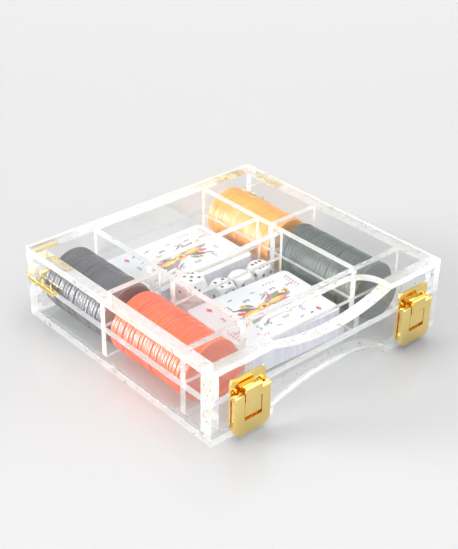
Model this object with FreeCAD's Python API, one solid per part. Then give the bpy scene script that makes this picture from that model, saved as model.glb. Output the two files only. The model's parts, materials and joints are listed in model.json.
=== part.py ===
import FreeCAD, Part
import os

# Clear acrylic poker chip case: a hinged lid over a base, both divided into seven compartments,
# with a hand slot along the front, two brass corner hinges and two brass draw latches.
# Millimetres, +Z up.  The origin is the middle of the underside of the case.
# X runs along the front, -Y is the latch side and +Y is the hinge side.

# Driving dimensions of the case
CASE_W = 210.0          # outside width, X
CASE_D = 200.0          # outside depth, Y
CASE_H = 56.0           # outside height, Z
WALL = 10.0             # outer walls
BOTTOM = 6.0            # bottom plate
TOP = 5.0               # top plate
DIVIDER = 5.0           # every inner wall and divider
SEAM_Z = 30.5           # middle of the seam between base and lid
SEAM_GAP = 0.3

# Inner layout: middle planes of the inner walls
INNER_FRONT_Y = -68.0
LONG_DIVIDER_X = 51.25
CROSS_Y = 15.25
MIDDLE_BACK_Y = 28.0
MIDDLE_FRONT_Y = 2.5

# Hand slot: the same cut in both plates and the same arc in both front walls
SLOT_HALF_W = 53.0
SLOT_DEPTH = 26.0
SLOT_CORNER = 18.0
SLOT_RISE = 9.2

# Contents
CHIP_R = 19.5
CHIP_PITCH = 3.2
CHIP_T = 3.15
CHIP_EDGE = 0.35
CHIP_LIFT = 0.05        # a chip's rim above the bottom plate
FRONT_ROW = 23          # chips in each front row
BACK_ROW = 21           # chips in each back row
FRONT_ROW_Y = -64.2
BACK_ROW_Y = 21.0
CARD_L = 88.0
CARD_W = 57.5
DECK_T = 18.0
CARD_CORNER = 4.0
BACK_DECK_GAP = 0.3     # from the divider in front of it
FRONT_DECK_X = 1.5      # the front deck lies a little off centre and a little askew
FRONT_DECK_Y = -32.5
FRONT_DECK_TURN = -2.5
DIE = 16.0
DIE_BALL_R = 11.0       # a die is a cube cut by a ball, which rounds its corners and edges
DIE_EDGE = 0.5          # around each flat face
DIE_GAP = 0.05          # between a die and the one stacked on it
# Each die: x, y, how many dice it stands on, turn about Z
DICE = (
    (-27.0, 15.2, 0, 3.0),
    (-27.0, 14.6, 1, 0.0),
    (1.5, 14.4, 0, 2.0),
    (19.5, 14.8, 0, -4.0),
    (39.5, 16.2, 0, 3.0),
)

# Corner hinges
LEAF_T = 1.6
LEAF_ARM_W = 8.0
LEAF_SIDE_L = 32.0
LEAF_BACK_L = 29.0
LEAF_SCREW_END = 5.5    # from the end of an arm to its last screw
LEAF_SCREW_STEP = 10.0  # between the two screws of the side arm
KNUCKLE_R = 2.4
KNUCKLE_Y = CASE_D / 2 + 2.8
KNUCKLE_L = 6.8         # each of the two outer knuckles
KNUCKLE_END = 2.0       # from the side of the case to the end of the barrel
KNUCKLE_GAP = 0.3
HINGE_PIN_R = 0.9
HINGE_BORE_R = 0.98     # in the moving knuckle; the fixed knuckles grip the pin
HINGE_PIN_PROUD = 0.8
HINGE_PIN_CHAMFER = 0.3

# Screws: countersunk, the same head and shank in hinges and latches
SCREW_HEAD_R = 1.9
SCREW_SHANK_R = 0.8
SCREW_HEAD_H = 1.0
SCREW_L = 5.0
SCREW_TIP_R = 0.2
SCREW_TIP_L = 1.0
DRIVE_SLOT_W = 0.5
DRIVE_SLOT_D = 0.4

# Latches
LATCH_X = 76.5
PLATE_T = 1.5
PLATE_W = 29.0
PLATE_Z = 6.0
CATCH_TOP_Z = 44.0
PLATE_CORNER = 3.5
LATCH_SCREW_X = 10.0
BASE_PLATE_SCREW_Z = 11.0
CATCH_SCREW_Z = 40.6
LIP_W = 12.6
LIP_Z = 36.2
LIP_R = 1.4
LIP_REACH = 1.4

LEVER_W = 30.0
LEVER_BOTTOM_Z = 3.0
LEVER_FRONT = 2.4       # front face ahead of the pivot
LEVER_BACK = 0.9        # back face behind the pivot
LEVER_CORNER = 6.0
LEVER_EDGE = 1.1
PIVOT_Y = -CASE_D / 2 - PLATE_T - 2.7
PIVOT_Z = 32.4
SLOT_W = 14.6
SLOT_BOTTOM_Z = 14.0
EAR_X = 11.0
EAR_T = 1.6
EAR_R = 1.6
EAR_CHIN = 4.0          # foot of the ear's front edge, below the pivot
EAR_FOOT = 6.2          # foot of the ear where it meets the plate, below the pivot
EAR_ROOT = 0.5          # how far the ear reaches into the plate
EAR_RISE = 0.4          # top of the ear's root, above the base's top
PIN_R = 0.8
BORE_R = 0.86
FORK_R = 1.95
FORK_GAP = 0.3          # between the lever's fork and each side of an ear
FORK_BACK = 0.35        # the fork is open behind a plane this far ahead of the pivot
PIVOT_PIN_INSET = 0.3   # ends of the pivot pins inside the lever

TONGUE_W = 13.6
TONGUE_T = 1.2
TONGUE_PIN_Y = PIVOT_Y - 0.5
TONGUE_PIN_Z = 17.2
TONGUE_PIN_GRIP = 2.5   # length of each end held in the lever
TONGUE_ROLL_R = 1.8
TONGUE_CREASE_Z = 27.2
TONGUE_STEP = 0.7       # how far the sheet steps out at its crease
TONGUE_TOP_Z = 38.4
TONGUE_HOOK = 2.6       # depth of the curl at the top

# How far cutting tools reach past what they cut
PAST = 1.0
FAR_PAST = 5.0

# Worked-out planes
X0 = CASE_W / 2
Y0 = CASE_D / 2
IN_X = X0 - WALL
IN_BACK_Y = Y0 - WALL
FRONT_WALL_BACK_Y = -Y0 + WALL
BASE_TOP_Z = SEAM_Z - SEAM_GAP / 2
LID_BOTTOM_Z = SEAM_Z + SEAM_GAP / 2
LID_TOP_Z = CASE_H - TOP
HALF = DIVIDER / 2
CELL_FRONT_Y = INNER_FRONT_Y + HALF
SIDES = (("left", -1), ("right", 1))

V = FreeCAD.Vector


def block(x0, x1, y0, y1, z0, z1):
    return Part.makeBox(x1 - x0, y1 - y0, z1 - z0, V(x0, y0, z0))


def rod_x(x0, x1, y, z, r):
    return Part.makeCylinder(r, x1 - x0, V(x0, y, z), V(1, 0, 0))


def polygon_x(points, x0, x1):
    """A (y, z) outline pushed along X."""
    wire = Part.makePolygon([V(x0, y, z) for y, z in points + points[:1]])
    return Part.Face(wire).extrude(V(x1 - x0, 0, 0))


def round_edges(shape, radius, wanted):
    edges = [e for e in shape.Edges if wanted(e)]
    return shape.makeFillet(radius, edges)


def along_z(edge):
    a, b = edge.Vertexes[0].Point, edge.Vertexes[-1].Point
    return abs(a.x - b.x) < 1e-6 and abs(a.y - b.y) < 1e-6


def along_y(edge):
    a, b = edge.Vertexes[0].Point, edge.Vertexes[-1].Point
    return abs(a.x - b.x) < 1e-6 and abs(a.z - b.z) < 1e-6


def is_circle(edge):
    return edge.Curve.TypeId == "Part::GeomCircle"


def save(shape, name):
    shape = shape.removeSplitter() if shape.ShapeType != "Compound" else shape
    if not shape.isValid():
        raise RuntimeError(name + " is not a valid shape")
    shape.exportStep("parts/" + name + ".step")


# ---------------------------------------------------------------- hand slot

def plate_slot(z0, z1):
    """The rounded cut for the fingers, in the front edge of a plate."""
    back = -Y0 + SLOT_DEPTH
    cut = block(-SLOT_HALF_W, SLOT_HALF_W, -Y0 - SLOT_DEPTH, back, z0, z1)
    return round_edges(cut, SLOT_CORNER, lambda e: along_z(e) and e.Vertexes[0].Point.y > back - PAST)


def arc_cut(edge_z, bulge):
    """A shallow arc across the front wall: bulge is +1 for an arc that rises and -1 for one that dips."""
    radius = (SLOT_HALF_W ** 2 + SLOT_RISE ** 2) / (2 * SLOT_RISE)
    centre_z = edge_z + bulge * (SLOT_RISE - radius)
    disc = Part.makeCylinder(radius, 3 * WALL, V(0, -Y0 - WALL, centre_z), V(0, 1, 0))
    low, high = (edge_z, edge_z + 2 * SLOT_RISE) if bulge > 0 else (edge_z - 2 * SLOT_RISE, edge_z)
    window = block(-SLOT_HALF_W, SLOT_HALF_W, -Y0 - WALL, -Y0 + 2 * WALL, low, high)
    return disc.common(window)


# ---------------------------------------------------------------- screws

def screw(at, inward):
    """A countersunk screw whose head is flush at the point at, driven along inward."""
    head = Part.makeCone(SCREW_HEAD_R, SCREW_SHANK_R, SCREW_HEAD_H, at, inward)
    shank = Part.makeCylinder(SCREW_SHANK_R, SCREW_L, at, inward)
    tip = Part.makeCone(SCREW_SHANK_R, SCREW_TIP_R, SCREW_TIP_L, at + inward * SCREW_L, inward)
    return head.fuse([shank, tip]).removeSplitter()


def drive_slot(at, inward):
    """The straight slot across a screw head."""
    across_x = block(-SCREW_HEAD_R, SCREW_HEAD_R, -DRIVE_SLOT_W / 2, DRIVE_SLOT_W / 2, -DRIVE_SLOT_D,
                     DRIVE_SLOT_D)
    if abs(inward.y) > 0.5:
        across_x.rotate(V(0, 0, 0), V(1, 0, 0), 90)
    across_x.translate(at)
    return across_x


def hinge_screw_spots(side, z):
    arm_x = side * (X0 - LEAF_ARM_W / 2)
    arm_y = Y0 - LEAF_SIDE_L + LEAF_SCREW_END
    back_x = side * (X0 - LEAF_BACK_L + LEAF_SCREW_END)
    spots = [(arm_x, arm_y), (arm_x, arm_y + LEAF_SCREW_STEP), (back_x, Y0 - LEAF_ARM_W / 2)]
    return [V(x, y, z) for x, y in spots]


def latch_screw_spots(side, z):
    return [V(side * LATCH_X + dx, -Y0 - PLATE_T, z) for dx in (-LATCH_SCREW_X, LATCH_SCREW_X)]


BASE_HINGE_SCREWS = [(p, V(0, 0, -1)) for _, s in SIDES for p in hinge_screw_spots(s, BASE_TOP_Z)]
LID_HINGE_SCREWS = [(p, V(0, 0, 1)) for _, s in SIDES for p in hinge_screw_spots(s, LID_BOTTOM_Z)]
LATCH_SCREWS = [(p, V(0, 1, 0)) for _, s in SIDES for p in latch_screw_spots(s, BASE_PLATE_SCREW_Z)]
CATCH_SCREWS = [(p, V(0, 1, 0)) for _, s in SIDES for p in latch_screw_spots(s, CATCH_SCREW_Z)]


def drill(shape, screws):
    """Cut the holes for the screws that pass through or into this shape, heads up to a plate away."""
    box = shape.BoundBox
    box.enlarge(2 * PLATE_T)
    near = [screw(p, d) for p, d in screws if box.isInside(p)]
    return shape.cut(near) if near else shape


def screw_group(screws):
    return Part.makeCompound([screw(p, d).cut(drive_slot(p, d)) for p, d in screws])


# ---------------------------------------------------------------- hinges

def leaf_plate(side, z0, z1):
    """The flat L of a corner hinge, set into the edge of the walls."""
    xs = sorted((side * X0, side * (X0 - LEAF_ARM_W)))
    xb = sorted((side * X0, side * (X0 - LEAF_BACK_L)))
    side_arm = block(xs[0], xs[1], Y0 - LEAF_SIDE_L, Y0, z0, z1)
    back_arm = block(xb[0], xb[1], Y0 - LEAF_ARM_W, Y0, z0, z1)
    return side_arm.fuse(back_arm).removeSplitter()


def knuckle_spans(side):
    """X spans of the three knuckles, from the outer end of the barrel inwards."""
    outer = X0 - KNUCKLE_END
    inner = X0 - LEAF_BACK_L
    middle = (outer - KNUCKLE_L - KNUCKLE_GAP, inner + KNUCKLE_L + KNUCKLE_GAP)
    cuts = [(outer, outer - KNUCKLE_L), middle, (inner + KNUCKLE_L, inner)]
    return [tuple(sorted((side * a, side * b))) for a, b in cuts]


def hinge_leaf(side, z0, z1, spans, bore_r, screws):
    leaf = leaf_plate(side, z0, z1)
    for x0, x1 in spans:
        web = block(x0, x1, Y0 - PAST, KNUCKLE_Y, z0, z1)
        leaf = leaf.fuse([web, rod_x(x0, x1, KNUCKLE_Y, SEAM_Z, KNUCKLE_R)])
    bore = rod_x(-X0, X0, KNUCKLE_Y, SEAM_Z, bore_r)
    return drill(leaf.cut(bore), screws)


def hinge_pin(side):
    outer = side * (X0 - KNUCKLE_END + HINGE_PIN_PROUD)
    inner = side * (X0 - LEAF_BACK_L - HINGE_PIN_PROUD)
    pin = rod_x(min(outer, inner), max(outer, inner), KNUCKLE_Y, SEAM_Z, HINGE_PIN_R)
    return pin.makeChamfer(HINGE_PIN_CHAMFER, [e for e in pin.Edges if is_circle(e)])


def hinge_pockets(z0, z1):
    return [leaf_plate(s, z0, z1) for _, s in SIDES]


# ---------------------------------------------------------------- acrylic plates

def shell_walls(prefix, z0, z1, pockets, screws, arc):
    """The four outer walls of one half of the case."""
    walls = {
        "front_wall": block(-X0, X0, -Y0, FRONT_WALL_BACK_Y, z0, z1).cut(arc),
        "back_wall": block(-X0, X0, IN_BACK_Y, Y0, z0, z1),
        "left_wall": block(-X0, -IN_X, FRONT_WALL_BACK_Y, IN_BACK_Y, z0, z1),
        "right_wall": block(IN_X, X0, FRONT_WALL_BACK_Y, IN_BACK_Y, z0, z1),
    }
    for name, wall in walls.items():
        if name != "front_wall":
            wall = wall.cut(pockets)
        save(drill(wall, screws), prefix + name)


def dividers(prefix, z0, z1):
    """The inner front wall, the two long dividers and the four cross dividers of one half."""
    x_in = LONG_DIVIDER_X - HALF
    x_out = LONG_DIVIDER_X + HALF
    walls = {
        "inner_front_wall": block(-IN_X, IN_X, INNER_FRONT_Y - HALF, CELL_FRONT_Y, z0, z1),
        "left_long_divider": block(-x_out, -x_in, CELL_FRONT_Y, IN_BACK_Y, z0, z1),
        "right_long_divider": block(x_in, x_out, CELL_FRONT_Y, IN_BACK_Y, z0, z1),
        "left_cross_divider": block(-IN_X, -x_out, CROSS_Y - HALF, CROSS_Y + HALF, z0, z1),
        "right_cross_divider": block(x_out, IN_X, CROSS_Y - HALF, CROSS_Y + HALF, z0, z1),
        "middle_back_divider": block(-x_in, x_in, MIDDLE_BACK_Y - HALF, MIDDLE_BACK_Y + HALF, z0, z1),
        "middle_front_divider": block(-x_in, x_in, MIDDLE_FRONT_Y - HALF, MIDDLE_FRONT_Y + HALF, z0, z1),
    }
    for name, wall in walls.items():
        save(wall, prefix + name)


def base_shell():
    plate = block(-X0, X0, -Y0, Y0, 0, BOTTOM)
    save(plate.cut(plate_slot(-PAST, BOTTOM + PAST)), "base_bottom_plate")
    pockets = hinge_pockets(BASE_TOP_Z - LEAF_T, BASE_TOP_Z)
    screws = BASE_HINGE_SCREWS + LATCH_SCREWS
    shell_walls("base_", BOTTOM, BASE_TOP_Z, pockets, screws, arc_cut(BOTTOM, 1))
    dividers("base_", BOTTOM, BASE_TOP_Z)


def lid_shell():
    plate = block(-X0, X0, -Y0, Y0, LID_TOP_Z, CASE_H)
    save(plate.cut(plate_slot(LID_TOP_Z - PAST, CASE_H + PAST)), "lid_top_plate")
    pockets = hinge_pockets(LID_BOTTOM_Z, LID_BOTTOM_Z + LEAF_T)
    screws = LID_HINGE_SCREWS + CATCH_SCREWS
    shell_walls("lid_", LID_BOTTOM_Z, LID_TOP_Z, pockets, screws, arc_cut(LID_TOP_Z, -1))
    dividers("lid_", LID_BOTTOM_Z, LID_TOP_Z)


def hinges():
    base_z = BASE_TOP_Z - LEAF_T
    lid_z = LID_BOTTOM_Z + LEAF_T
    for name, side in SIDES:
        outer, middle, inner = knuckle_spans(side)
        base_leaf = hinge_leaf(side, base_z, BASE_TOP_Z, (outer, inner), HINGE_PIN_R, BASE_HINGE_SCREWS)
        save(base_leaf, name + "_hinge_base_leaf")
        lid_leaf = hinge_leaf(side, LID_BOTTOM_Z, lid_z, (middle,), HINGE_BORE_R, LID_HINGE_SCREWS)
        save(lid_leaf, name + "_hinge_lid_leaf")
        save(hinge_pin(side), name + "_hinge_pin")
    save(screw_group(BASE_HINGE_SCREWS), "hinge_base_screws")
    save(screw_group(LID_HINGE_SCREWS), "hinge_lid_screws")


# ---------------------------------------------------------------- contents

def chip_row(x, y_start, count):
    """A row of chips standing on edge, each with its rim eased."""
    z = BOTTOM + CHIP_R + CHIP_LIFT
    chip = Part.makeCylinder(CHIP_R, CHIP_T, V(x, y_start, z), V(0, 1, 0))
    chip = chip.makeChamfer(CHIP_EDGE, [e for e in chip.Edges if is_circle(e)])
    chips = []
    for i in range(count):
        one = chip.copy()
        one.translate(V(0, i * CHIP_PITCH, 0))
        chips.append(one)
    return Part.makeCompound(chips)


def card_deck(x, y, turn):
    deck = block(-CARD_L / 2, CARD_L / 2, -CARD_W / 2, CARD_W / 2, BOTTOM, BOTTOM + DECK_T)
    deck = round_edges(deck, CARD_CORNER, along_z)
    deck.rotate(V(0, 0, 0), V(0, 0, 1), turn)
    deck.translate(V(x, y, 0))
    return deck


def loose_dice():
    dice = []
    for x, y, layer, turn in DICE:
        cube = block(-DIE / 2, DIE / 2, -DIE / 2, DIE / 2, 0, DIE)
        die = cube.common(Part.makeSphere(DIE_BALL_R, V(0, 0, DIE / 2))).Solids[0]
        rims = [edge for edge in die.Edges if is_circle(edge) and edge.Curve.Radius < DIE / 2]
        die = die.makeFillet(DIE_EDGE, rims)
        die.rotate(V(0, 0, 0), V(0, 0, 1), turn)
        die.translate(V(x, y, BOTTOM + layer * (DIE + DIE_GAP)))
        dice.append(die)
    return Part.makeCompound(dice)


def contents():
    x = (IN_X + LONG_DIVIDER_X + HALF) / 2
    save(chip_row(-x, BACK_ROW_Y, BACK_ROW), "chips_charcoal")
    save(chip_row(-x, FRONT_ROW_Y, FRONT_ROW), "chips_coral")
    save(chip_row(x, BACK_ROW_Y, BACK_ROW), "chips_amber")
    save(chip_row(x, FRONT_ROW_Y, FRONT_ROW), "chips_green")
    save(card_deck(0, MIDDLE_BACK_Y + HALF + BACK_DECK_GAP + CARD_W / 2, 0), "card_deck_back")
    save(card_deck(FRONT_DECK_X, FRONT_DECK_Y, FRONT_DECK_TURN), "card_deck_front")
    save(loose_dice(), "dice")


# ---------------------------------------------------------------- latches

def latch_plate(x, z0, z1, round_top):
    plate = block(x - PLATE_W / 2, x + PLATE_W / 2, -Y0 - PLATE_T, -Y0, z0, z1)
    middle = (z0 + z1) / 2
    return round_edges(plate, PLATE_CORNER,
                       lambda e: along_y(e) and (e.Vertexes[0].Point.z > middle) == round_top)


def latch_base_plate(x):
    """The lower plate, with two ears that carry the lever above the seam."""
    plate = latch_plate(x, PLATE_Z, BASE_TOP_Z, False)
    root = -Y0 - PLATE_T
    for dx in (-EAR_X, EAR_X):
        x0, x1 = x + dx - EAR_T / 2, x + dx + EAR_T / 2
        arm = polygon_x([(PIVOT_Y, PIVOT_Z - EAR_CHIN), (root + EAR_ROOT, PIVOT_Z - EAR_FOOT),
                         (root + EAR_ROOT, BASE_TOP_Z), (root - EAR_ROOT, BASE_TOP_Z + EAR_RISE),
                         (PIVOT_Y, PIVOT_Z + EAR_R)], x0, x1)
        eye = rod_x(x0, x1, PIVOT_Y, PIVOT_Z, EAR_R)
        plate = plate.fuse([arm, eye])
        plate = plate.cut(rod_x(x0 - PAST, x1 + PAST, PIVOT_Y, PIVOT_Z, PIN_R))
    return drill(plate, LATCH_SCREWS)


def catch_plate(x):
    """The upper plate, with the rolled lip that the tongue pulls on."""
    plate = latch_plate(x, LID_BOTTOM_Z, CATCH_TOP_Z, True)
    x0, x1 = x - LIP_W / 2, x + LIP_W / 2
    nose_y = -Y0 - PLATE_T - LIP_REACH
    neck = block(x0, x1, nose_y, -Y0 - PLATE_T / 2, LIP_Z - LIP_R, LIP_Z + LIP_R)
    plate = plate.fuse([neck, rod_x(x0, x1, nose_y, LIP_Z, LIP_R)])
    return drill(plate, CATCH_SCREWS)


def pivot_pins(x):
    pins = []
    for side in (-1, 1):
        xs = sorted((x + side * (SLOT_W / 2 + PIVOT_PIN_INSET), x + side * (LEVER_W / 2 - PIVOT_PIN_INSET)))
        pins.append(rod_x(xs[0], xs[1], PIVOT_Y, PIVOT_Z, PIN_R))
    return Part.makeCompound(pins)


def lever(x):
    """The U-shaped lever, forked over the ears at its upper ends."""
    y0, y1 = PIVOT_Y - LEVER_FRONT, PIVOT_Y + LEVER_BACK
    x0, x1 = x - LEVER_W / 2, x + LEVER_W / 2
    body = block(x0, x1, y0, y1, LEVER_BOTTOM_Z, PIVOT_Z)
    middle = (LEVER_BOTTOM_Z + PIVOT_Z) / 2
    body = round_edges(body, LEVER_CORNER, lambda e: along_y(e) and e.Vertexes[0].Point.z < middle)
    body = round_edges(body, LEVER_EDGE, lambda e: e.BoundBox.YMax < y0 + 1e-3 and not (
        e.BoundBox.ZMin > PIVOT_Z - 1e-3))
    ends = rod_x(x0, x1, PIVOT_Y, PIVOT_Z, LEVER_FRONT)
    ends = round_edges(ends, LEVER_EDGE / 2, is_circle)
    body = body.fuse(ends)
    slot = block(x - SLOT_W / 2, x + SLOT_W / 2, y0 - PAST, y1 + FAR_PAST, SLOT_BOTTOM_Z, PIVOT_Z + FAR_PAST)
    body = body.cut(slot)
    for dx in (-EAR_X, EAR_X):
        e0, e1 = x + dx - EAR_T / 2 - FORK_GAP, x + dx + EAR_T / 2 + FORK_GAP
        fork = rod_x(e0, e1, PIVOT_Y, PIVOT_Z, FORK_R)
        way = block(e0, e1, PIVOT_Y - FORK_BACK, PIVOT_Y + FAR_PAST, PIVOT_Z - FAR_PAST, PIVOT_Z + FAR_PAST)
        body = body.cut([fork, way])
    body = body.cut(rod_x(x0 - PAST, x1 + PAST, PIVOT_Y, PIVOT_Z, BORE_R))
    return body.cut(tongue_pin(x))


def tongue_pin(x):
    reach = SLOT_W / 2 + TONGUE_PIN_GRIP
    return rod_x(x - reach, x + reach, TONGUE_PIN_Y, TONGUE_PIN_Z, PIN_R)


def tongue(x):
    """The sheet tongue: rolled round its pin, creased, leaning out and curled in over the catch lip."""
    x0, x1 = x - TONGUE_W / 2, x + TONGUE_W / 2
    front = TONGUE_PIN_Y - TONGUE_ROLL_R
    lean = front - TONGUE_STEP
    hook = lean + 2 * TONGUE_T
    outer = [(front, TONGUE_PIN_Z), (front, TONGUE_CREASE_Z), (lean, TONGUE_CREASE_Z + 2 * TONGUE_STEP),
             (lean, TONGUE_TOP_Z - TONGUE_T), (lean + TONGUE_T / 3, TONGUE_TOP_Z - TONGUE_T / 3),
             (lean + TONGUE_T, TONGUE_TOP_Z)]
    hook_z = TONGUE_TOP_Z - TONGUE_HOOK
    curl = [(hook, TONGUE_TOP_Z - TONGUE_T / 4), (hook, hook_z), (hook - TONGUE_T / 2, hook_z),
            (lean + TONGUE_T, hook_z + TONGUE_STEP)]
    inner = curl + [(lean + TONGUE_T, TONGUE_CREASE_Z + 3 * TONGUE_STEP),
                    (front + TONGUE_T, TONGUE_CREASE_Z + TONGUE_STEP), (front + TONGUE_T, TONGUE_PIN_Z)]
    sheet = polygon_x(outer + inner, x0, x1)
    roll = rod_x(x0, x1, TONGUE_PIN_Y, TONGUE_PIN_Z, TONGUE_ROLL_R)
    bore = rod_x(x0 - PAST, x1 + PAST, TONGUE_PIN_Y, TONGUE_PIN_Z, BORE_R)
    return sheet.fuse(roll).cut(bore)


def latches():
    for name, side in SIDES:
        x = side * LATCH_X
        save(latch_base_plate(x), name + "_latch_base_plate")
        save(catch_plate(x), name + "_catch_plate")
        save(pivot_pins(x), name + "_latch_pivot_pins")
        save(lever(x), name + "_latch_lever")
        save(tongue_pin(x), name + "_tongue_pin")
        save(tongue(x), name + "_latch_tongue")
    save(screw_group(LATCH_SCREWS), "latch_base_screws")
    save(screw_group(CATCH_SCREWS), "catch_screws")


os.makedirs("parts", exist_ok=True)
base_shell()
lid_shell()
hinges()
contents()
latches()
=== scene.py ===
import bmesh
import bpy
import json
import math
import random
from mathutils import Matrix, Vector

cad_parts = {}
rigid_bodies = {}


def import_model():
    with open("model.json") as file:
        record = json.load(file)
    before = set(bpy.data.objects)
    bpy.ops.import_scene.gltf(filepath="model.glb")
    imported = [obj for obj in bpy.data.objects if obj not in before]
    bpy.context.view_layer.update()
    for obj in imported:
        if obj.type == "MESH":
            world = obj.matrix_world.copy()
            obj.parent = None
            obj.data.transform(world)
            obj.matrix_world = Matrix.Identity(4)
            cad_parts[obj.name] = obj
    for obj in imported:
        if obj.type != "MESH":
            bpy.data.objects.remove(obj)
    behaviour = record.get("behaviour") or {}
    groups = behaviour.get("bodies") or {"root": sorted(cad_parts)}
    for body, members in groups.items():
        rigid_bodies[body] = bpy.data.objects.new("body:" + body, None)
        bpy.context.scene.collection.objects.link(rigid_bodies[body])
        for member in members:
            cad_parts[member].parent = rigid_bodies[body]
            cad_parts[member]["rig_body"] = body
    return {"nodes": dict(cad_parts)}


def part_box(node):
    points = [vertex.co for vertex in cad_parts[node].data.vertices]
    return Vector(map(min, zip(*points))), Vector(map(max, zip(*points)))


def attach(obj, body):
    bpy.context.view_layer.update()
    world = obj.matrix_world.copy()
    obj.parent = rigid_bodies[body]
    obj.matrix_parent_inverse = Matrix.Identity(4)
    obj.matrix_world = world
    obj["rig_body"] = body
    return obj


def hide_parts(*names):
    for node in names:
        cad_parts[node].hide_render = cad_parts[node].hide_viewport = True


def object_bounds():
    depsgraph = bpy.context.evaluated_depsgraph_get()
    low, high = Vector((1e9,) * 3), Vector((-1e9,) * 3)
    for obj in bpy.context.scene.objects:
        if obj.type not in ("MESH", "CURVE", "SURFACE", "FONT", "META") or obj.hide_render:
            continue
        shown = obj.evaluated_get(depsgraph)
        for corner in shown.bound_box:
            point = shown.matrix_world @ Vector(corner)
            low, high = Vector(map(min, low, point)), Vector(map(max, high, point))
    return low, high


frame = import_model()
cad_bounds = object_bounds()

# A clear acrylic poker chip case on a pale studio floor.
# Everything is in metres; MM turns a size in millimetres into metres.
MM = 0.001

nodes = frame["nodes"]
node_body = {o.name: o["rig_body"] for o in nodes.values()}

# Camera
CAMERA_PLACE = Vector((-461.0, -511.3, 449.0)) * MM
CAMERA_AZIMUTH = math.radians(-41.86)
CAMERA_ELEVATION = math.radians(30.84)
CAMERA_ROLL = math.radians(0.89)
CAMERA_LENS = 74.53
SENSOR = 36.0

# Studio: the sine of each height above the horizon, and how bright the tent is there
TENT = ((0.0, 0.90), (0.20, 1.08), (0.36, 0.46), (0.70, 0.5), (0.82, 1.9), (1.0, 1.9))
TENT_GAIN = 2.0
# Each panel: which way it lies, the degrees from there to where it starts to fade and to where it ends, and
# the light it adds
PANELS = (
    ((-0.77, 0.62, 0.13), 9, 20, 36.0),
    ((0.25, -0.90, 0.30), 16, 40, 2.0),
)
LAMP_PLACE = (0.5, 0.6, 1.3)
LAMP_TARGET = (0.1, 0.15, 0.0)
LAMP_SIZE = (1.4, 1.0)   # width and height
LAMP_POWER = 6.0
FLOOR_HALF = 12.0        # from the middle of the floor to its edge
FLOOR_GREY = 0.51
FLOOR_ROUGHNESS = 0.16

# Chips
CHIP_R = 19.5 * MM
CHIP_T = 3.0 * MM
CHIP_EDGE = 0.65 * MM    # radius of the rounding between face and rim
CHIP_EDGE_STEPS = 3
CHIP_RECESS_R = 14.5 * MM
CHIP_RECESS = 0.25 * MM  # depth of the recess in each face
CHIP_RECESS_SLOPE = 0.35 * MM
CHIP_GROOVE = 0.4 * MM   # depth of the groove round the middle of the rim
CHIP_GROOVE_W = 0.5 * MM  # its width at the rim
CHIP_GROOVE_FLOOR_W = CHIP_GROOVE_W / 3
CHIP_SIDES = 96
CHIP_SLIP = 0.55 * MM    # how far a chip may sit to one side of the row's middle
CHIP_LIFT = 0.3 * MM     # how far it may sit above the lowest
CHIP_EVEN = 0.4          # share of a row's spare length that is spread evenly between its chips
FRONT_ROW = 23
BACK_ROW = 21
# Each row: its node, how many chips it has, and the darkest and the palest colour of its plastic
CHIP_ROWS = (
    ("chips_charcoal", BACK_ROW, (0.070, 0.070, 0.083), (0.10, 0.10, 0.115)),
    ("chips_coral", FRONT_ROW, (0.93, 0.11, 0.028), (0.98, 0.16, 0.05)),
    ("chips_amber", BACK_ROW, (0.97, 0.37, 0.03), (1.0, 0.45, 0.06)),
    ("chips_green", FRONT_ROW, (0.05, 0.07, 0.062), (0.075, 0.105, 0.095)),
)

# Cards
CARD_L = 88.0 * MM
CARD_W = 57.5 * MM
CARD_CORNER = 4.0 * MM
CARD_PITCH = 0.3 * MM
CARD_T = 0.28 * MM
CARD_SLIP = 0.12 * MM    # how far a card below the top one may sit out of line
CARD_FACE_TILT = 0.7     # a card's face points at least this much up or down
INK_T = 0.02 * MM
LAYERS = 100             # a mark's top lies 1/LAYERS of the ink's thickness above the mark before it
FRONT_DECK_TURN = math.radians(-2.5)
BACK_DECK_SEED = 11
FRONT_DECK_SEED = 12
INKS = {
    "brown": (0.13, 0.065, 0.04),
    "amber": (0.80, 0.36, 0.06),
    "red": (0.62, 0.05, 0.06),
    "olive": (0.22, 0.20, 0.06),
    "yellow": (0.88, 0.62, 0.16),
    "violet": (0.30, 0.24, 0.30),
    "ink": (0.05, 0.05, 0.09),
}

# Dice
DIE = 16.0 * MM
PIP_R = 1.35 * MM
PIP_DEPTH = 0.55 * MM
PIP_STEP = 3.7 * MM
# Each die: the number on top, the number in front, and its turn in degrees, from left to right, and the lower
# one first where two are stacked
DICE_FACES = (
    (3, 2, 3.0),
    (5, 3, 0.0),
    (4, 5, 2.0),
    (1, 2, -4.0),
    (6, 5, 3.0),
)

# Acrylic and brass
LEAF_ARM_W = 8.0 * MM    # width of each arm of a hinge leaf
TOUCH = 0.03 * MM        # two faces nearer than this are glued
ACRYLIC_IOR = 1.49
EDGE_TILT = 0.5          # a sheet's narrow faces point less than this along its thickness
ACRYLIC_BEVEL = 0.3 * MM
BRASS_BEVEL = 0.22 * MM
BEVEL_STEPS = 2

# Meshes: points nearer than WELD are one point, and edges that turn less than FLAT aren't edges
WELD = 0.001 * MM
FLAT = math.radians(0.5)
BEVEL_FROM = math.radians(40)   # an edge that turns more than this is rounded
SHARP = math.radians(35)        # an edge that turns more than this stays sharp in smooth shading
DICE_SHARP = math.radians(28)


# ---------------------------------------------------------------- node helpers

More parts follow.
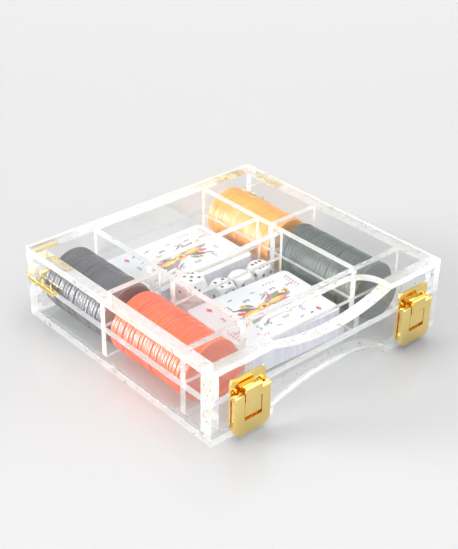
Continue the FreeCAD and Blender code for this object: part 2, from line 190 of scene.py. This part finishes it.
class Nodes:
    """A node tree, with short calls to add and join nodes. An input is given by its name, with _ for a space,
    or by its number as i0, i1 and so on."""

    def __init__(self, tree):
        self.tree = tree

    def node(self, kind, settings=None, **inputs):
        made = self.tree.nodes.new("ShaderNode" + kind)
        for key, value in (settings or {}).items():
            setattr(made, key, value)
        for key, value in inputs.items():
            self.put(made, key.replace("_", " "), value)
        return made

    def put(self, node, key, value):
        by_number = key[0] == "i" and key[1:].isdigit()
        socket = node.inputs[int(key[1:]) if by_number else key]
        if isinstance(value, bpy.types.NodeSocket):
            self.tree.links.new(value, socket)
        else:
            socket.default_value = value

    def maths(self, operation, a, b=0.0):
        return self.node("Math", {"operation": operation}, i0=a, i1=b).outputs[0]

    def vector(self, operation, a, b=(0, 0, 0)):
        return self.node("VectorMath", {"operation": operation}, i0=a, i1=b).outputs[0]

    def split(self, value):
        """The X, Y and Z of a vector."""
        return self.node("SeparateXYZ", Vector=value).outputs

    def ramp(self, value, stops):
        """A colour that runs through the stops, each a place and a colour, as value goes from 0 to 1."""
        ramp = self.node("ValToRGB", Fac=value)
        elements = ramp.color_ramp.elements
        while len(elements) < len(stops):
            elements.new(0.5)
        for element, (at, colour) in zip(elements, stops):
            element.position = at
            element.color = (*colour, 1)
        return ramp.outputs["Color"]

    def spread(self, value, low, high):
        """A number from low to high as value goes from 0 to 1."""
        return self.node("MapRange", i0=value, i3=low, i4=high).outputs[0]


class Shader(Nodes):
    """A material, made by joining nodes."""

    def __init__(self, name):
        self.material = bpy.data.materials.new(name)
        self.material.use_nodes = True
        super().__init__(self.material.node_tree)
        self.tree.nodes.clear()
        self.out = self.tree.nodes.new("ShaderNodeOutputMaterial")

    def place(self):
        """The point in the case's own frame, which moves with the piece."""
        return self.node("TexCoord").outputs["Object"]

    def normal(self):
        """The X, Y and Z of the surface's direction, in the case's own frame."""
        return self.split(self.node("TexCoord").outputs["Normal"])

    def noise(self, scale, detail=2.0, stretch=(1, 1, 1)):
        point = self.vector("MULTIPLY", self.place(), stretch)
        return self.node("TexNoise", Vector=point, Scale=scale, Detail=detail).outputs["Fac"]

    def bump(self, height, strength, distance):
        return self.node("Bump", Height=height, Strength=strength, Distance=distance).outputs[0]

    def principled(self, **inputs):
        return self.node("BsdfPrincipled", **inputs).outputs[0]

    def mix(self, share, a, b):
        return self.node("MixShader", i0=share, i1=a, i2=b).outputs[0]

    def finish(self, surface):
        self.put(self.out, "Surface", surface)
        return self.material


def grey(value):
    return (value, value, value, 1)


# ---------------------------------------------------------------- boxes and contacts

def islands(mesh_object):
    """The box of each separate solid in a node."""
    bm = bmesh.new()
    bm.from_mesh(mesh_object.data)
    bmesh.ops.remove_doubles(bm, verts=bm.verts, dist=WELD)
    seen = set()
    boxes = []
    for start in bm.verts:
        if start in seen:
            continue
        seen.add(start)
        todo = [start]
        points = []
        while todo:
            vert = todo.pop()
            points.append(vert.co.copy())
            for edge in vert.link_edges:
                other = edge.other_vert(vert)
                if other not in seen:
                    seen.add(other)
                    todo.append(other)
        low = Vector([min(p[i] for p in points) for i in range(3)])
        high = Vector([max(p[i] for p in points) for i in range(3)])
        boxes.append((low, high))
    bm.free()
    return boxes


def touches(a, b):
    """Whether two boxes meet, each given as its lowest and highest corner."""
    return all(a[0][i] <= b[1][i] + TOUCH and b[0][i] <= a[1][i] + TOUCH for i in range(3))


def leaf_arms(name):
    """The two arms of a corner hinge's leaf, as boxes."""
    low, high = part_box(name)
    side = 1 if high.x > 0 else -1
    back = cad_bounds[1].y
    wall_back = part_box("base_back_wall")[1].y
    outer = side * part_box("base_back_wall")[1].x
    xs = sorted((outer, outer - side * LEAF_ARM_W))
    side_arm = (Vector((xs[0], low.y, low.z)), Vector((xs[1], wall_back, high.z)))
    back_arm = (Vector((low.x, wall_back - LEAF_ARM_W, low.z)), Vector((high.x, back, high.z)))
    return [side_arm, back_arm]


def neighbours(name):
    """What touches an acrylic sheet of this name, as boxes: the plates and walls glued to it, the sheets that
    meet it where one of the two is a divider, and the metal set into or screwed to it."""
    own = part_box(name)
    body = node_body[name]
    sheets, dividers, metal = [], [], []
    for other in nodes:
        if other == name or node_body[other] != body:
            continue
        if other.startswith(("base_", "lid_")):
            thin = "divider" in other or "divider" in name
            (dividers if thin else sheets).append(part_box(other))
        elif "plate" in other:
            metal.append(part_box(other))
        elif "leaf" in other:
            metal.extend(leaf_arms(other))
        elif "screws" in other:
            metal.extend(islands(nodes[other]))
    return [[b for b in boxes if touches(own, b)] for boxes in (sheets, dividers, metal)]


# ---------------------------------------------------------------- materials

def inside_any(shader, boxes):
    """1 where the shaded point lies in or on one of the boxes."""
    point = shader.place()
    nearest = None
    for low, high in boxes:
        centre = (low + high) / 2
        half = (high - low) / 2
        away = shader.vector("ABSOLUTE", shader.vector("SUBTRACT", point, centre))
        parts = shader.split(shader.vector("SUBTRACT", away, half))
        reach = shader.maths("MAXIMUM", shader.maths("MAXIMUM", parts[0], parts[1]), parts[2])
        nearest = reach if nearest is None else shader.maths("MINIMUM", nearest, reach)
    return shader.maths("LESS_THAN", nearest, TOUCH)


def edge_mask(shader, name):
    """1 on the narrow faces of an acrylic sheet, 0 on its two broad faces."""
    low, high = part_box(name)
    size = high - low
    thin = min(range(3), key=lambda i: size[i])
    return shader.maths("LESS_THAN", shader.maths("ABSOLUTE", shader.normal()[thin]), EDGE_TILT)


def acrylic_material(name):
    """Polished clear acrylic whose narrow faces are partly a milky white layer, a painted glow that stands in
    for backlight shining out of polished edges; the milk has faint yellow patches and grey specks. Light goes
    straight on where metal touches the sheet and, through a milky layer, where two sheets are glued. The case
    hardly dims the light that falls on what is inside and under it."""
    s = Shader("clear_acrylic_" + name)
    glass = s.principled(
        Base_Color=(0.993, 0.998, 0.997, 1), Roughness=0.0, IOR=ACRYLIC_IOR, Transmission_Weight=1.0)
    white = (1.0, 1.0, 1.0)
    tint = s.ramp(s.noise(70.0, 1.0), [(0.60, white), (0.66, (1.0, 0.96, 0.78)), (0.72, white)])
    dots = s.ramp(s.noise(300.0, 1.0), [(0.66, (0.985, 0.99, 0.99)), (0.70, (0.50, 0.52, 0.55))])
    specks = s.vector("MULTIPLY", tint, dots)
    milk = s.mix(0.5, s.node("BsdfTranslucent", Color=specks).outputs[0],
                 s.node("BsdfDiffuse", Color=specks).outputs[0])
    # Painted glow: part of each narrow face is milky white, standing in for backlight shining out of the
    # polished edge.
    painted_edge_glow = s.maths("MULTIPLY", edge_mask(s, name), s.spread(s.noise(60.0, 1.0), 0.36, 0.50))
    surface = s.mix(painted_edge_glow, glass, milk)
    sheets, dividers, metal = neighbours(name)
    clear = s.node("BsdfTransparent", Color=grey(0.995)).outputs[0]
    for boxes, low, high in ((sheets, 0.12, 0.34), (dividers, 0.50, 0.72)):
        if boxes:
            joint = s.mix(s.spread(s.noise(90.0, 1.0), low, high), clear, milk)
            surface = s.mix(inside_any(s, boxes), surface, joint)
    if metal:
        surface = s.mix(inside_any(s, metal), surface, clear)
    path = s.node("LightPath")
    lamp_ray = s.maths("MAXIMUM", path.outputs["Is Shadow Ray"], path.outputs["Is Diffuse Ray"])
    open_to_lamps = s.node("BsdfTransparent", Color=(0.975, 0.98, 0.978, 1)).outputs[0]
    return s.finish(s.mix(lamp_ray, surface, open_to_lamps))


def brass_material():
    """Polished brass, with a fine grain and slightly uneven colour and shine."""
    s = Shader("polished_brass")
    smear = s.noise(60.0, 3.0)
    grain = s.noise(2600.0, 2.0, (1, 1, 0.12))
    colour = s.ramp(smear, [(0.3, (0.95, 0.71, 0.23)), (0.7, (0.98, 0.77, 0.31))])
    shader = s.principled(Base_Color=colour, Metallic=1.0, Roughness=s.spread(smear, 0.07, 0.14),
                          Normal=s.bump(grain, 0.05, 0.01 * MM))
    return s.finish(shader)


def chip_material(name, low, high):
    """Injection-moulded plastic: fine mottle, and faint scuffs along the rim."""
    s = Shader(name)
    mottle = s.noise(700.0, 3.0)
    drift = s.noise(35.0, 1.0)
    scuffs = s.noise(240.0, 3.0, (1, 6, 1))
    colour = s.ramp(s.maths("ADD", s.maths("MULTIPLY", mottle, 0.35), s.maths("MULTIPLY", drift, 0.65)),
                    [(0.35, low), (0.65, high)])
    shader = s.principled(Base_Color=colour, Roughness=s.spread(scuffs, 0.16, 0.32), IOR=1.7,
                          Normal=s.bump(mottle, 0.10, 0.04 * MM))
    return s.finish(shader)


def card_material():
    """Coated paper: pale faces with a fine linen finish, and mauve cut edges."""
    s = Shader("card_paper")
    fibre = s.noise(1500.0, 3.0)
    linen = s.node("TexVoronoi", Vector=s.place(), Scale=1700.0).outputs["Distance"]
    face = s.maths("GREATER_THAN", s.maths("ABSOLUTE", s.normal()["Z"]), CARD_FACE_TILT)
    paper = s.ramp(fibre, [(0.3, (0.70, 0.715, 0.74)), (0.7, (0.76, 0.77, 0.79))])
    streaks = s.maths("ADD", s.maths("MULTIPLY", s.noise(500.0, 2.0, (1, 1, 8)), 0.5),
                      s.maths("MULTIPLY", s.noise(330.0, 1.0, (1, 1, 0.04)), 0.5))
    edge = s.ramp(streaks, [(0.38, (0.68, 0.66, 0.80)), (0.62, (0.87, 0.85, 0.94))])
    colour = s.node("MixRGB", Fac=face, Color1=edge, Color2=paper).outputs[0]
    shader = s.principled(Base_Color=colour, Roughness=s.spread(fibre, 0.32, 0.45), IOR=1.45,
                          Normal=s.bump(linen, 0.08, 0.02 * MM))
    return s.finish(shader)


def ink_material(name, colour):
    """Printed ink, slightly uneven, on the card's linen finish."""
    s = Shader("ink_" + name)
    cover = s.noise(1300.0, 3.0)
    pale = tuple(c + (0.75 - c) * 0.18 for c in colour)
    shader = s.principled(Base_Color=s.ramp(cover, [(0.35, colour), (0.75, pale)]),
                          Roughness=s.spread(cover, 0.34, 0.5), Normal=s.bump(cover, 0.1, 0.01 * MM))
    return s.finish(shader)


def dice_material():
    """Glossy white plastic, slightly uneven."""
    s = Shader("dice_plastic")
    drift = s.noise(120.0, 2.0)
    haze = s.noise(900.0, 2.0)
    shader = s.principled(Base_Color=s.ramp(drift, [(0.3, (0.80, 0.80, 0.80)), (0.7, (0.86, 0.86, 0.855))]),
                          Roughness=s.spread(haze, 0.10, 0.20), IOR=1.52,
                          Normal=s.bump(haze, 0.03, 0.02 * MM))
    return s.finish(shader)


def pip_material():
    """Dark grey paint."""
    s = Shader("pip_paint")
    cover = s.noise(1100.0, 3.0)
    colour = s.ramp(cover, [(0.3, (0.020, 0.021, 0.024)), (0.7, (0.05, 0.052, 0.058))])
    shader = s.principled(Base_Color=colour, Roughness=s.spread(cover, 0.25, 0.45),
                          Normal=s.bump(cover, 0.1, 0.01 * MM))
    return s.finish(shader)


# ---------------------------------------------------------------- mesh helpers

def link(name, data):
    """A new object in the scene."""
    made = bpy.data.objects.new(name, data)
    bpy.context.scene.collection.objects.link(made)
    return made


def smooth(mesh, sharp):
    """Smooth shading, except across edges that turn more than the sharp angle."""
    mesh.polygons.foreach_set("use_smooth", [True] * len(mesh.polygons))
    mesh.set_sharp_from_angle(angle=sharp)


def new_piece(name, points, faces, materials, slots=None):
    """An object made of these points and faces. Slots gives the material of each face by its number."""
    mesh = bpy.data.meshes.new(name)
    mesh.from_pydata([tuple(p) for p in points], [], faces)
    for material in materials:
        mesh.materials.append(material)
    if slots:
        mesh.polygons.foreach_set("material_index", slots)
    smooth(mesh, SHARP)
    return link(name, mesh)


def add_prism(points, faces, outline, low, high):
    """Adds a closed flat slab with this outline, which runs counterclockwise, from low to high."""
    start = len(points)
    count = len(outline)
    points.extend(Vector((x, y, low)) for x, y in outline)
    points.extend(Vector((x, y, high)) for x, y in outline)
    faces.append([start + i for i in reversed(range(count))])
    faces.append([start + count + i for i in range(count)])
    for i in range(count):
        j = (i + 1) % count
        faces.append([start + i, start + j, start + count + j, start + count + i])


def soften(name, width):
    """Rounds the sharp edges of a CAD node for the render, without touching its mesh."""
    piece = nodes[name]
    weld = piece.modifiers.new("weld", "WELD")
    weld.merge_threshold = WELD
    flat = piece.modifiers.new("flat", "DECIMATE")
    flat.decimate_type = "DISSOLVE"
    flat.angle_limit = FLAT
    bevel = piece.modifiers.new("bevel", "BEVEL")
    bevel.width = width
    bevel.segments = BEVEL_STEPS
    bevel.limit_method = "ANGLE"
    bevel.angle_limit = BEVEL_FROM
    bevel.harden_normals = True


# ---------------------------------------------------------------- chips

def chip_profile():
    """Radius and height along half a chip's section, from the recess in its face to the middle of its rim."""
    top = CHIP_T / 2
    profile = [(CHIP_RECESS_R - CHIP_RECESS_SLOPE, top - CHIP_RECESS), (CHIP_RECESS_R, top)]
    for i in range(CHIP_EDGE_STEPS + 1):
        angle = i * math.pi / 2 / CHIP_EDGE_STEPS
        profile.append((CHIP_R - CHIP_EDGE * (1 - math.sin(angle)), top - CHIP_EDGE * (1 - math.cos(angle))))
    profile.append((CHIP_R, CHIP_GROOVE_W / 2))
    profile.append((CHIP_R - CHIP_GROOVE, CHIP_GROOVE_FLOOR_W / 2))
    return profile


def add_chip(points, faces, centre):
    """Adds a closed chip that stands on edge, with its axis along Y."""
    upper = chip_profile()
    section = upper + [(r, -y) for r, y in reversed(upper)]
    start = len(points)
    turns = [2 * math.pi * i / CHIP_SIDES for i in range(CHIP_SIDES)]
    for r, y in section:
        points.extend(centre + Vector((r * math.cos(a), y, r * math.sin(a))) for a in turns)
    for ring in range(len(section) - 1):
        for i in range(CHIP_SIDES):
            j = (i + 1) % CHIP_SIDES
            a = start + ring * CHIP_SIDES
            faces.append([a + i, a + j, a + CHIP_SIDES + j, a + CHIP_SIDES + i])
    faces.append([start + i for i in reversed(range(CHIP_SIDES))])
    last = start + (len(section) - 1) * CHIP_SIDES
    faces.append([last + i for i in range(CHIP_SIDES)])


def chip_row(name, count, material, seed):
    """A row of chips on edge: most are pressed together, and a few stand a little apart."""
    draw = random.Random(seed)
    low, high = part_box(name)
    spare = (high.y - low.y) - count * CHIP_T
    shares = [draw.random() ** 2 for _ in range(count - 1)]
    even = CHIP_EVEN * spare / (count - 1)
    gaps = [0.0] + [even + (1 - CHIP_EVEN) * spare * share / sum(shares) for share in shares]
    middle = (low.x + high.x) / 2
    points, faces = [], []
    y = low.y
    for gap in gaps:
        y += gap
        slip = CHIP_SLIP * draw.uniform(-1, 1)
        lift = CHIP_LIFT * draw.random()
        add_chip(points, faces, Vector((middle + slip, y + CHIP_T / 2, low.z + CHIP_R + lift)))
        y += CHIP_T
    piece = new_piece(name + "_row", points, faces, [material])
    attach(piece, "base")
    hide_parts(name)


# ---------------------------------------------------------------- cards

def round_corners(length, width, radius, steps=6):
    """The outline of a rectangle with rounded corners."""
    outline = []
    for corner, (sx, sy) in enumerate([(1, 1), (-1, 1), (-1, -1), (1, -1)]):
        for i in range(steps + 1):
            angle = (corner + i / steps) * math.pi / 2
            outline.append((sx * (length / 2 - radius) + radius * math.cos(angle),
                            sy * (width / 2 - radius) + radius * math.sin(angle)))
    return outline


def turned(outline, x, y, angle):
    """The outline turned about 0, 0, then moved by x, y."""
    c, s = math.cos(angle), math.sin(angle)
    return [(x + c * u - s * v, y + s * u + c * v) for u, v in outline]


def leaf(length, width, steps=7):
    """A pointed oval along X, with one end at the middle."""
    side = [(length * i / steps, width / 2 * math.sin(math.pi * i / steps)) for i in range(steps + 1)]
    return [(u, -v) for u, v in side] + [(u, v) for u, v in side[-2:0:-1]]


def disc(radius, steps=16):
    return [(radius * math.cos(2 * math.pi * i / steps), radius * math.sin(2 * math.pi * i / steps))
            for i in range(steps)]


def diamond(length, width):
    return [(length / 2, 0), (0, width / 2), (-length / 2, 0), (0, -width / 2)]


def scroll(radius, turns, width, steps=14):
    """Two thin spiral strokes, side by side and mirrored, wound inwards from where they meet."""
    outer, inner = [], []
    for i in range(steps + 1):
        share = i / steps
        angle = 2 * math.pi * turns * share
        reach = radius * (1 - 0.8 * share)
        half = width / 2 * (1 - 0.5 * share)
        outer.append(((reach + half) * math.cos(angle) - radius, (reach + half) * math.sin(angle)))
        inner.append(((reach - half) * math.cos(angle) - radius, (reach - half) * math.sin(angle)))
    left = [(outer[i], outer[i + 1], inner[i + 1], inner[i]) for i in range(steps)]
    right = [[(-u, v) for u, v in reversed(stroke)] for stroke in left]
    return left + right


def card_print():
    """The ornament on the top card, as (ink, outline) in millimetres about the card's middle: a spray of
    leaves and flowers, scrolls and a fringe of red lozenges, the same turned half round, and one flower over
    both."""
    marks = []

    def put(ink, outline, x=0.0, y=0.0, degrees=0.0):
        marks.append((ink, turned(outline, x, y, math.radians(degrees))))

    def flower(x, y, size, petals):
        for petal in range(petals):
            ink = "amber" if petal % 2 else "yellow"
            put(ink, leaf(size, size * 0.6), x, y, 360 * petal / petals + 15)
        put("brown", disc(size * 0.32), x, y)

    put("brown", leaf(25, 10.5), 0.0, 0.8, 9)
    put("violet", leaf(19, 6.0), 2.0, 2.6, 21)
    put("amber", leaf(20, 5.5), 2.5, 0.6, 6)
    put("yellow", leaf(13, 2.6), 5.5, 1.4, 10)
    put("brown", leaf(13, 4.4), 8.0, -2.0, -22)
    put("olive", leaf(12, 4.2), 11.0, 3.6, 34)
    put("olive", leaf(9, 3.2), 6.0, -3.0, -48)
    put("red", leaf(9, 3.6), 15.0, -0.6, -12)
    put("red", leaf(7, 2.6), 9.0, 5.0, 62)
    put("violet", leaf(9, 3.0), 19.0, 1.8, 16)
    flower(25.5, 7.5, 3.6, 7)
    flower(13.0, -8.2, 2.6, 6)
    put("ink", leaf(10, 1.3), 17.0, -5.0, -28)
    put("ink", leaf(9, 1.2), 3.0, 8.0, 24)
    put("ink", leaf(7, 1.0), 22.0, 3.0, 40)
    for x, y, radius, degrees in ((32.5, 11.5, 1.7, 0), (22.5, -12.0, 1.7, 90), (10.0, 13.0, 1.8, 180),
                                  (31.0, -4.0, 1.4, 90), (19.0, 14.0, 1.4, 0), (6.0, -12.5, 1.5, 180)):
        for stroke in scroll(radius, 1.2, 0.6):
            put("ink", stroke, x, y, degrees)
    for step in range(6):
        put("red", diamond(2.9, 1.3), 38.3, 21.5 - 2.7 * step, 64 if step % 2 else 18)
        put("red", diamond(1.7, 0.9), 35.9, 20.4 - 2.7 * step, -34)
    for step in range(4):
        put("red", diamond(2.6, 1.2), 26.0 - 3.0 * step, 21.5, 58 if step % 2 else 14)
    put("red", diamond(6.4, 4.0), 31.0, -19.0, 90)
    put("ink", diamond(3.8, 2.2), 24.0, -20.0, 20)
    put("ink", leaf(6, 1.0), 12.0, -20.5, 14)
    put("violet", leaf(5, 1.4), 2.0, 19.0, -16)
    marks.extend([(ink, turned(outline, 0.0, 0.0, math.pi)) for ink, outline in marks])
    flower(0.0, 0.0, 5.2, 8)
    put("red", diamond(3.0, 2.0))
    return marks


def card_stack(name, x, y, turn, paper, seed):
    """A stack of cards, slightly out of line below the top one. Gives the height of its top."""
    draw = random.Random(seed)
    low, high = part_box(name)
    count = round((high.z - low.z) / CARD_PITCH)
    outline = round_corners(CARD_L, CARD_W, CARD_CORNER)
    points, faces = [], []
    for card in range(count):
        slip = CARD_SLIP if card < count - 1 else 0.0
        placed = turned(outline, x + slip * draw.uniform(-1, 1), y + slip * draw.uniform(0, 1),
                        turn + slip / CARD_L * draw.uniform(-1, 1))
        add_prism(points, faces, placed, low.z + card * CARD_PITCH, low.z + card * CARD_PITCH + CARD_T)
    stack = new_piece(name + "_stack", points, faces, [paper])
    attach(stack, "base")
    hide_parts(name)
    return low.z + (count - 1) * CARD_PITCH + CARD_T


def card_ornament(name, x, y, turn, top, inks):
    """The marks printed on a deck's top card, as thin raised ink."""
    points, faces, slots = [], [], []
    order = list(inks)
    for layer, (ink, mark) in enumerate(card_print()):
        before = len(faces)
        placed = turned([(u * MM, v * MM) for u, v in mark], x, y, turn)
        add_prism(points, faces, placed, top, top + INK_T * (1 + layer / LAYERS))
        slots.extend([order.index(ink)] * (len(faces) - before))
    ornament = new_piece(name + "_print", points, faces, list(inks.values()), slots)
    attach(ornament, "base")


def deck(name, turn, paper, inks, seed):
    low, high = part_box(name)
    x, y = (low.x + high.x) / 2, (low.y + high.y) / 2
    top = card_stack(name, x, y, turn, paper, seed)
    card_ornament(name, x, y, turn, top, inks)


# ---------------------------------------------------------------- dice

PIPS = {
    1: [(0, 0)],
    2: [(-1, 1), (1, -1)],
    3: [(-1, 1), (0, 0), (1, -1)],
    4: [(-1, -1), (-1, 1), (1, -1), (1, 1)],
    5: [(-1, -1), (-1, 1), (0, 0), (1, -1), (1, 1)],
    6: [(-1, -1), (0, -1), (1, -1), (-1, 1), (0, 1), (1, 1)],
}


def right_face(top, front):
    """The number on a die's right face: opposite faces add up to 7, and 1, 2, 3 run counterclockwise."""
    axes = [min(top, 7 - top), min(front, 7 - front)]
    third = 6 - sum(axes)
    order = (*axes, third)
    sign = 1 if order in ((1, 2, 3), (2, 3, 1), (3, 1, 2)) else -1
    for value in (top, front):
        sign *= 1 if value <= 3 else -1
    return third if sign > 0 else 7 - third


def pip_places(top, front):
    """Each pip of a die about its middle, as (place on the face, way out of the face)."""
    right = right_face(top, front)
    x, y, z = Vector((1, 0, 0)), Vector((0, 1, 0)), Vector((0, 0, 1))
    sides = ((top, z, x, y), (7 - top, -z, x, y), (front, -y, x, z), (7 - front, y, x, z),
             (right, x, y, z), (7 - right, -x, y, z))
    places = []
    for value, out, across, along in sides:
        for u, v in PIPS[value]:
            places.append((out * DIE / 2 + (across * u + along * v) * PIP_STEP, out))
    return places


def from_bmesh(name, bm, materials):
    """A mesh made from a bmesh, which is then freed."""
    mesh = bpy.data.meshes.new(name)
    bm.to_mesh(mesh)
    bm.free()
    for material in materials:
        mesh.materials.append(material)
    return mesh


def pip_cutter(centre, top, front, turn, paint):
    """The balls that cut a die's pips, as one object."""
    ball = (PIP_R ** 2 + PIP_DEPTH ** 2) / (2 * PIP_DEPTH)
    bm = bmesh.new()
    for place, out in pip_places(top, front):
        at = centre + turn @ (place + out * (ball - PIP_DEPTH))
        bmesh.ops.create_icosphere(bm, subdivisions=3, radius=ball, matrix=Matrix.Translation(at))
    return link("pip_cutter", from_bmesh("pip_cutter", bm, [paint]))


def blank_die(low, high, plastic):
    """A copy of the one die of the CAD node that lies in this box."""
    bm = bmesh.new()
    bm.from_mesh(nodes["dice"].data)
    bmesh.ops.remove_doubles(bm, verts=bm.verts, dist=WELD)
    others = [v for v in bm.verts
              if not all(low[i] - TOUCH / 2 < v.co[i] < high[i] + TOUCH / 2 for i in range(3))]
    bmesh.ops.delete(bm, geom=others, context="VERTS")
    return link("blank_die", from_bmesh("blank_die", bm, [plastic]))


def dice_piece(plastic, paint):
    """The five dice, with a painted hollow for each pip."""
    together = bmesh.new()
    boxes = sorted(islands(nodes["dice"]), key=lambda b: (round((b[0].x + b[1].x) / MM), b[0].z))
    for (low, high), (top, front, degrees) in zip(boxes, DICE_FACES):
        turn = Matrix.Rotation(math.radians(degrees), 3, "Z")
        tool = pip_cutter((low + high) / 2, top, front, turn, paint)
        die = blank_die(low, high, plastic)
        cut = die.modifiers.new("pips", "BOOLEAN")
        cut.operation = "DIFFERENCE"
        cut.object = tool
        cut.solver = "EXACT"
        cut.material_mode = "TRANSFER"
        view = bpy.context.evaluated_depsgraph_get()
        together.from_mesh(bpy.data.meshes.new_from_object(die.evaluated_get(view)))
        bpy.data.objects.remove(die)
        bpy.data.objects.remove(tool)
    mesh = from_bmesh("dice_set", together, [plastic, paint])
    smooth(mesh, DICE_SHARP)
    piece = link("dice_set", mesh)
    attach(piece, "base")
    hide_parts("dice")


# ---------------------------------------------------------------- camera, lights, floor

def make_camera():
    """A camera that looks down at the case from its front left."""
    right = Vector((math.cos(CAMERA_AZIMUTH), math.sin(CAMERA_AZIMUTH), 0))
    level = math.cos(CAMERA_ELEVATION)
    back = Vector((math.sin(CAMERA_AZIMUTH) * level, -math.cos(CAMERA_AZIMUTH) * level,
                   math.sin(CAMERA_ELEVATION)))
    up = back.cross(right)
    across = right * math.cos(CAMERA_ROLL) + up * math.sin(CAMERA_ROLL)
    above = up * math.cos(CAMERA_ROLL) - right * math.sin(CAMERA_ROLL)
    data = bpy.data.cameras.new("camera")
    data.sensor_width = SENSOR
    data.lens = CAMERA_LENS
    data.clip_start = 0.01
    camera = link("camera", data)
    turn = Matrix((across, above, back)).transposed().to_4x4()
    camera.matrix_world = Matrix.Translation(CAMERA_PLACE) @ turn
    bpy.context.scene.camera = camera


def make_world():
    """A white tent, dimmer half way up its walls, with a bright panel low at the back left and a faint one in
    front."""
    world = bpy.data.worlds.new("studio")
    bpy.context.scene.world = world
    world.use_nodes = True
    n = Nodes(world.node_tree)
    way = n.node("TexCoord").outputs["Generated"]
    tent = n.ramp(n.split(way)["Z"], [(height, (light / TENT_GAIN,) * 3) for height, light in TENT])
    gain = TENT_GAIN
    for aim, inner, outer, light in PANELS:
        near = n.node("VectorMath", {"operation": "DOT_PRODUCT"}, i0=way, i1=Vector(aim).normalized())
        panel = n.node("MapRange", {"interpolation_type": "SMOOTHSTEP"}, Value=near.outputs["Value"],
                       From_Min=math.cos(math.radians(outer)), From_Max=math.cos(math.radians(inner)),
                       To_Max=light * TENT_GAIN)
        gain = n.maths("ADD", panel.outputs[0], gain)
    background = n.tree.nodes["Background"]
    n.put(background, "Color", tent)
    n.put(background, "Strength", gain)


def make_lamp():
    """A large soft lamp above the back of the case."""
    data = bpy.data.lights.new("top_back", "AREA")
    data.shape = "RECTANGLE"
    data.size, data.size_y = LAMP_SIZE
    data.energy = LAMP_POWER
    lamp = link("top_back", data)
    aim = Vector(LAMP_TARGET) - Vector(LAMP_PLACE)
    lamp.matrix_world = Matrix.Translation(LAMP_PLACE) @ aim.to_track_quat("-Z", "Y").to_matrix().to_4x4()


def make_floor():
    """A pale, slightly glossy floor."""
    mesh = bpy.data.meshes.new("floor")
    corners = [(x * FLOOR_HALF, y * FLOOR_HALF, 0) for x, y in ((-1, -1), (1, -1), (1, 1), (-1, 1))]
    mesh.from_pydata(corners, [], [(0, 1, 2, 3)])
    floor = link("floor", mesh)
    s = Shader("floor")
    shader = s.principled(Base_Color=grey(FLOOR_GREY), Roughness=FLOOR_ROUGHNESS, IOR=1.45)
    mesh.materials.append(s.finish(shader))


def set_view():
    """Plain colours, and enough bounces for light to pass through all the sheets."""
    scene = bpy.context.scene
    scene.view_settings.view_transform = "Standard"
    scene.cycles.max_bounces = 32
    scene.cycles.transmission_bounces = 28
    scene.cycles.glossy_bounces = 12
    scene.cycles.transparent_max_bounces = 64
    scene.cycles.caustics_reflective = False
    scene.cycles.caustics_refractive = False


# ---------------------------------------------------------------- assembly

def give(name, material):
    """Gives a CAD node its one material."""
    materials = nodes[name].data.materials
    materials.clear()
    materials.append(material)


make_camera()
make_world()
make_floor()
set_view()
make_lamp()

for seed, (name, count, low_colour, high_colour) in enumerate(CHIP_ROWS):
    chip_row(name, count, chip_material(name, low_colour, high_colour), seed)

inks = {name: ink_material(name, colour) for name, colour in INKS.items()}
paper = card_material()
deck("card_deck_back", 0.0, paper, inks, BACK_DECK_SEED)
deck("card_deck_front", FRONT_DECK_TURN, paper, inks, FRONT_DECK_SEED)
dice_piece(dice_material(), pip_material())

brass = brass_material()
for name in nodes:
    if name.startswith(("chips_", "card_deck_", "dice")):
        continue
    if name.startswith(("base_", "lid_")):
        give(name, acrylic_material(name))
        soften(name, ACRYLIC_BEVEL)
    else:
        give(name, brass)
        soften(name, BRASS_BEVEL)
